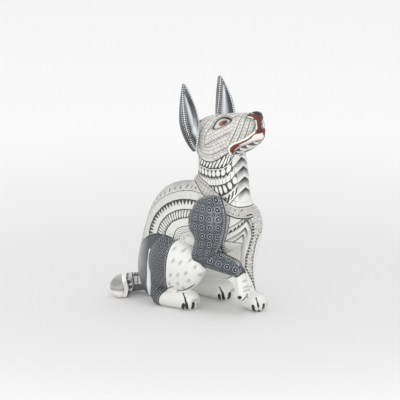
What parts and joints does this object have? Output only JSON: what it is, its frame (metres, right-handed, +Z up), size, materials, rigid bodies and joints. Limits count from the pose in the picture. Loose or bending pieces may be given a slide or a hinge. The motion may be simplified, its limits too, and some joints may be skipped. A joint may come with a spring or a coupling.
{
  "type": "seated carved dog figure",
  "caption": "Seated carved wooden dog figure, head raised and one forepaw lifted, with banded black and white paint; ears and tail plug in on round pegs.",
  "frame": {"origin": "middle of the footprint box on the floor the figure sits on", "axes": "+Z up, +X the way the animal faces, +Y its left side"},
  "size_m": [0.1581, 0.083, 0.2063],
  "materials": {
    "trunk_paint": "satin painted",
    "head_paint": "satin painted",
    "arm_paint": "satin painted",
    "foreleg_left_paint": "satin painted",
    "hindleg_paint": "satin painted",
    "ear_paint": "satin painted",
    "tail_paint": "satin painted",
    "bare_wood": "bare"
  },
  "bodies": {
    "figure": {"torso": "trunk_paint", "head": "head_paint", "neck_dowel": "bare_wood", "foreleg_right": "arm_paint", "foreleg_left": "foreleg_left_paint", "shoulder_dowel_right": "bare_wood", "shoulder_dowel_left": "bare_wood", "hindleg_right": "hindleg_paint", "hindleg_left": "hindleg_paint", "hip_dowel_right": "bare_wood", "hip_dowel_left": "bare_wood"},
    "ear_peg_right": {"ear_peg_right": "bare_wood"},
    "ear_right": {"ear_right": "ear_paint"},
    "ear_peg_left": {"ear_peg_left": "bare_wood"},
    "ear_left": {"ear_left": "ear_paint"},
    "tail_peg": {"tail_peg": "bare_wood"},
    "tail": {"tail": "tail_paint"}
  },
  "joints": [
    {"name": "ear_right_pull", "type": "slide", "parent": "figure", "child": "ear_peg_right", "axis": [-0.1505, -0.9835, -0.1004], "range_m": [0, 0.012]},
    {"name": "ear_right_turn", "type": "hinge", "parent": "ear_peg_right", "child": "ear_right", "pos_m": [0.018, -0.0199, 0.158], "axis": [-0.1505, -0.9835, -0.1004], "range_deg": [-12, 12]},
    {"name": "ear_left_pull", "type": "slide", "parent": "figure", "child": "ear_peg_left", "axis": [-0.1505, 0.9835, -0.1004], "range_m": [0, 0.012]},
    {"name": "ear_left_turn", "type": "hinge", "parent": "ear_peg_left", "child": "ear_left", "pos_m": [0.018, 0.0199, 0.158], "axis": [-0.1505, 0.9835, -0.1004], "range_deg": [-12, 12]},
    {"name": "tail_pull", "type": "slide", "parent": "figure", "child": "tail_peg", "axis": [-1, 0, 0], "range_m": [0, 0.015]},
    {"name": "tail_turn", "type": "hinge", "parent": "tail_peg", "child": "tail", "pos_m": [-0.0554, 0.003, 0.011], "axis": [-1, 0, 0], "range_deg": [0, 30]}
  ]
}
